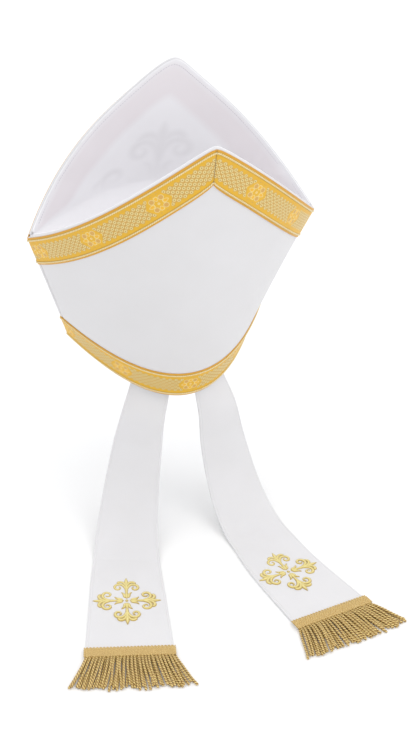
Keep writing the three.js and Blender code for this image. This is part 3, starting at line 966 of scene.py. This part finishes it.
def stroke(line, halves, scale, turn, mirror):
    """One padded stroke as a grid: places in the plane, run along, share across and rise."""
    flat = np.array(line) * scale
    flat[:, 0] *= mirror
    rotation = np.array([[math.cos(turn), -math.sin(turn)], [math.sin(turn), math.cos(turn)]])
    path = catmull(flat, np.linspace(0, 1, 60)) @ rotation.T
    run, (path,) = resampled(path, 0.7)
    half = catmull(np.array(halves)[:, None], np.linspace(0, 1, len(run)))[:, 0] * scale * STROKE_FULLNESS
    tangent = unit(np.gradient(path, axis=0))
    normal = np.stack([-tangent[:, 1], tangent[:, 0]], -1)
    q = np.sin(np.linspace(-math.pi / 2, math.pi / 2, 9))
    end = np.minimum(run, run[-1] - run) / np.maximum(half, 0.3)
    drawn_in = half * (0.35 + 0.65 * ball(end))
    place = path[:, None] + normal[:, None] * (q[None] * drawn_in[:, None])[..., None]
    rise = ball(1 - np.abs(q))[None] * ball(end)[:, None] * np.minimum(1, 0.45 + half / 2.2)[:, None]
    return place, run, q, rise


def cross_strokes(size, leaf_reach):
    """Every stroke of a cross, from its middle."""
    found = []
    for quarter in range(4):
        turn = quarter * math.pi / 2
        for line, halves in ARM_STROKES:
            mirrors = (1,) if all(x == 0 for x, _ in line) else (1, -1)
            found += [stroke(line, halves, size / 2, turn, mirror) for mirror in mirrors]
        for line, halves in LEAF_STROKES if leaf_reach else []:
            found.append(stroke(line, halves, leaf_reach * size / 2, turn + math.pi / 4, 1))
    knot = [(-0.045, 0.0), (0.0, 0.0), (0.045, 0.0)]
    found.append(stroke(knot, [0.03, 0.045, 0.03], size / 2, 0, 1))
    return found


def stitched_shell(top, under, thread):
    """A closed sheet whose rim is a short wall between the two grids."""
    def ringed(grid, other):
        """The grid with a row of the other at both ends, and its outer columns doubled."""
        longer = np.concatenate([other[:1], grid, other[-1:]], 0)
        return np.concatenate([longer[:, :1], longer, longer[:, -1:]], 1)

    rim, floor = ringed(top, under), ringed(under, under)
    rim[:, 0], rim[:, -1] = floor[:, 0], floor[:, -1]
    return shell(rim, floor, {"thread": ringed(thread, thread)})


def embroidery(name, strokes, place_at, height):
    """place_at takes places in the plane of the cross and a lift, and gives points in the row frame."""
    parts = []
    for number, (place, run, q, rise) in enumerate(strokes):
        lift = STITCHING_LIFT + STITCHING_LAYER * (number % 3)
        top = place_at(place, lift + rise * height)
        under = place_at(place, np.full(rise.shape, -STITCHING_SINK))
        thread = np.stack(np.broadcast_arrays(run[:, None], q[None] * 2, rise), -1)
        parts.append(stitched_shell(top, under, thread))
    points, faces, values = joined(parts)
    piece = add_piece(name + "_stitching", points, faces, SATIN, values)
    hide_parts(name)
    return piece


def lappet_cross(name, frame_at, onward, aside):
    shares = np.linspace(0, 1, 2001)
    run = travel(frame_at(shares)[0])
    start = np.interp(LAPPET_CROSS_AT, shares, run) + onward

    def place_at(place, lift):
        lappet = frame_at(np.interp(start + place[..., 1], run, shares))
        return band_point(lappet, (place[..., 0] + aside) / (lappet[4] / 2), LAPPET_WALL / 2 + lift)

    return embroidery(name, cross_strokes(LAPPET_CROSS_SIZE, 0), place_at, LAPPET_CROSS_RISE)


def front_cross():
    def place_at(place, lift):
        up = (FRONT_CROSS_HEIGHT + place[..., 1]) / CORNER_HEIGHT
        across = place[..., 0] / lerp(HEM_HALF_WIDTH, CORNER_HALF_WIDTH, up)
        # the hem's dip moves the level a little, so the place is closed in on
        for _ in range(3):
            bulge = 1 - across ** 2
            up = (FRONT_CROSS_HEIGHT + place[..., 1] + HEM_DIP * bulge * (1 - up)) / CORNER_HEIGHT
            across = place[..., 0] / lerp(HEM_HALF_WIDTH, CORNER_HALF_WIDTH, up)
        return to_row(lifted(FRONT, across, up, lift))

    strokes = cross_strokes(FRONT_CROSS_SIZE, FRONT_LEAF_REACH)
    return embroidery("front_cross", strokes, place_at, FRONT_CROSS_RISE)


# ---- heading and bullion fringe ----

PICOT_PITCH = 3.1
PICOT_REACH = 2.3
PLAITS_AT = (1.1, 3.5, 5.9, 8.3)
PLAIT_LENGTH = 6
BULLION_RADIUS = 1.26
BULLION_COUNT = 27
BULLION_RISE = 1.3
UP = np.array([0, 0, 1.0])


def flat_line(frame_end, places, height):
    """Points beside the lappet's end: places are (share across -1 to 1, millimetres beyond the end)."""
    middle, along, across, _, width, _ = frame_end
    share, beyond = np.moveaxis(places, -1, 0)
    point = middle + across * (share * (width + HEADING_EXTRA) / 2)[..., None] + along * beyond[..., None]
    point[..., 2] = TABLE + height
    return point


def heading(name, frame_at):
    end = frame_at(1.0)
    start, stop = -HEADING_OVERLAP, HEADING_DEPTH - HEADING_OVERLAP
    width = end[4] + HEADING_EXTRA
    clear = LAPPET_WALL + 0.1
    parts = []
    share = np.linspace(-1, 1, 420)

    def line(beyond, height):
        path = flat_line(end, np.stack([share, beyond], -1), height)
        _, (path,) = resampled(path, 0.45)
        return path, np.broadcast_to(UP, path.shape)

    aside = share * width / 2
    # the picot edge, then four plaits of three cords each, close together
    loops = np.abs(np.sin(aside * math.pi / PICOT_PITCH))
    path, normals = line(start + 0.3 - PICOT_REACH * loops, clear + 0.7 + 0 * aside)
    parts.append(tube(path, normals, 0.6, 8, 2, 0.25, 1.8))
    for row in PLAITS_AT:
        for strand in range(3):
            angle = aside * 2 * math.pi / PLAIT_LENGTH + strand * 2 * math.pi / 3
            path, normals = line(start + row + np.sin(angle), clear + 0.9 + 0.4 * np.sin(2 * angle))
            parts.append(tube(path, normals, 0.66, 8, 2, 0.25, 2.2))
    # the tape that the plaits are sewn to
    base_share, base_beyond = np.meshgrid(np.linspace(-1, 1, 20), np.linspace(start + 0.2, stop - 0.2, 8))
    places = np.stack([base_share, base_beyond], -1)
    thick = ball((1 - np.abs(base_share)) / 0.02) * ball(np.minimum(
        base_beyond - start - 0.2, stop - 0.2 - base_beyond) / 0.5)
    top = flat_line(end, places, clear + 0.5 + 0.5 * thick)
    under = flat_line(end, places, clear + 0.5 - 0.5 * thick)
    # the tape's fixed ply height of 0.4 gives it mostly the braid's painted shade colour, as painted shade
    # between the plaits
    marks = np.stack([base_share * 40, base_beyond / 9, 0.4 + 0 * thick], -1)
    points, faces, values = joined([*parts, shell(top, under, {"twist": marks})])
    piece = add_piece(name + "_plaits", points, faces, BRAID, values)
    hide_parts(name)
    return piece


def fringe(name, frame_at, seed):
    """Two layers of twisted bullion cords, the upper one between the cords of the lower one."""
    random = np.random.default_rng(seed)
    end = frame_at(1.0)
    start = HEADING_DEPTH - HEADING_OVERLAP - 1.2
    parts = []
    for layer in (0, 1):
        for number in range(BULLION_COUNT - layer):
            share = -1 + 2 * (number + 0.5 * layer + 0.5) / BULLION_COUNT + random.normal(0, 0.006)
            reach = FRINGE_LENGTH + 1.2 + random.uniform(-3.2, 1.8) - 1.5 * layer
            run = np.linspace(0, 1, 24)
            splay = lerp(1, FRINGE_SPREAD, run ** 1.3)
            drift = random.normal(0, 0.016) * run ** 2 + random.normal(0, 0.01) * np.sin(run * math.pi * 1.5)
            beyond = start + run * reach * (1 - 0.07 * abs(share) ** 3)
            outermost = math.copysign(max(0, abs(share) - 0.88) / 0.12, share)
            stray = outermost * random.uniform(0.07, 0.17) * run ** 1.4
            sway = (share + drift) * splay + stray
            if layer:
                rise = lerp(2.1, 3.75, np.clip(run / 0.2, 0, 1)) - 1.6 * np.clip((run - 0.45) / 0.55, 0, 1)
            else:
                rise = np.full(run.shape, BULLION_RISE)
            path = flat_line(end, np.stack([sway, beyond], -1), rise)
            at, (path,) = resampled(path, 0.5)
            tip = np.minimum(1, (at[-1] - at) / 0.9)
            radius = BULLION_RADIUS * (0.45 + 0.55 * ball(tip))
            normals = np.broadcast_to(UP, path.shape)
            parts.append(tube(path, normals, radius, 10, 2, 0.3, BULLION_PITCH, random.uniform(0, 6.3)))
    points, faces, values = joined(parts)
    piece = add_piece(name + "_cords", points, faces, BULLION, values)
    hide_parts(name)
    return piece


def lappet_set(side, seed):
    seam_at, rows = LAPPETS[side]
    frame_at = lappet_frame(seam_at, rows)
    band, length = lappet_band(f"lappet_{side}", frame_at)
    cross = lappet_cross(f"lappet_cross_{side}", frame_at, *LAPPET_CROSS_OFFSET[side])
    braid = heading(f"fringe_heading_{side}", frame_at)
    cords = fringe(f"fringe_{side}", frame_at, seed)


cross_stitching = front_cross()
lining = gusset()
lining_stitches()
lappet_set("left", 11)
lappet_set("right", 23)


# ---- camera, floor and light ----

TENT_SIDE = 0.9
TENT_TOP = 1.44
FLOOR_REACH = 15
# The photograph's camera, in metres: rounded results of a fit to the photograph
CAMERA_LENS = 43.2
CAMERA_PLACE = (0.2367, 0.8721, 0.3934)
CAMERA_LOOK = Vector((-0.2786, -0.8475, -0.4519))
CAMERA_RIGHT = Vector((-0.9493, 0.3144, -0.0045))


def add_camera():
    data = bpy.data.cameras.new("camera")
    data.lens = CAMERA_LENS
    data.sensor_width = 36
    camera = bpy.data.objects.new("camera", data)
    look = CAMERA_LOOK.normalized()
    right = (CAMERA_RIGHT - look * CAMERA_RIGHT.dot(look)).normalized()
    above = right.cross(look)
    camera.matrix_world = Matrix.Translation(CAMERA_PLACE) @ Matrix(
        (right, above, -look)).transposed().to_4x4()
    bpy.context.scene.collection.objects.link(camera)
    bpy.context.scene.camera = camera


def add_floor():
    mesh = bpy.data.meshes.new("floor")
    level = TABLE / 1000 - 0.0002
    corners = [(x * FLOOR_REACH, y * FLOOR_REACH, level) for x, y in ((-1, -1), (1, -1), (1, 1), (-1, 1))]
    mesh.from_pydata(corners, [], [(0, 1, 2, 3)])
    finish = Finish("floor", 0.9, Specular_IOR_Level=0.1)
    finish.shader.inputs["Base Color"].default_value = (0.88, 0.88, 0.88, 1)
    mesh.materials.append(finish.material)
    floor = bpy.data.objects.new("floor", mesh)
    bpy.context.scene.collection.objects.link(floor)


def add_area(name, place, aim, size, power):
    light = bpy.data.lights.new(name, "AREA")
    light.size = size
    light.energy = power
    lamp = bpy.data.objects.new(name, light)
    lamp.location = place
    lamp.rotation_euler = (Vector(aim) - Vector(place)).to_track_quat("-Z", "Y").to_euler()
    bpy.context.scene.collection.objects.link(lamp)


def add_light():
    """A bright studio tent, brighter overhead, with one soft lamp for the gold."""
    world = bpy.data.worlds.new("studio")
    world.use_nodes = True
    tree = world.node_tree
    split = tree.nodes.new("ShaderNodeSeparateXYZ")
    tree.links.new(tree.nodes.new("ShaderNodeTexCoord").outputs["Generated"], split.inputs[0])
    height = Term(tree, split.outputs["Z"]).math("MAXIMUM", 0.0)
    background = tree.nodes["Background"]
    background.inputs["Color"].default_value = (0.985, 0.99, 1, 1)
    tree.links.new((height * (TENT_TOP - TENT_SIDE) + TENT_SIDE).socket, background.inputs["Strength"])
    bpy.context.scene.world = world
    add_area("key", (-1.2, 1.6, 1.7), (0, 0.1, 0), 1.2, 7)


add_camera()
add_floor()
add_light()
bpy.context.scene.view_settings.view_transform = "Standard"

panel_sheet(BACK)
panel_sheet(FRONT)
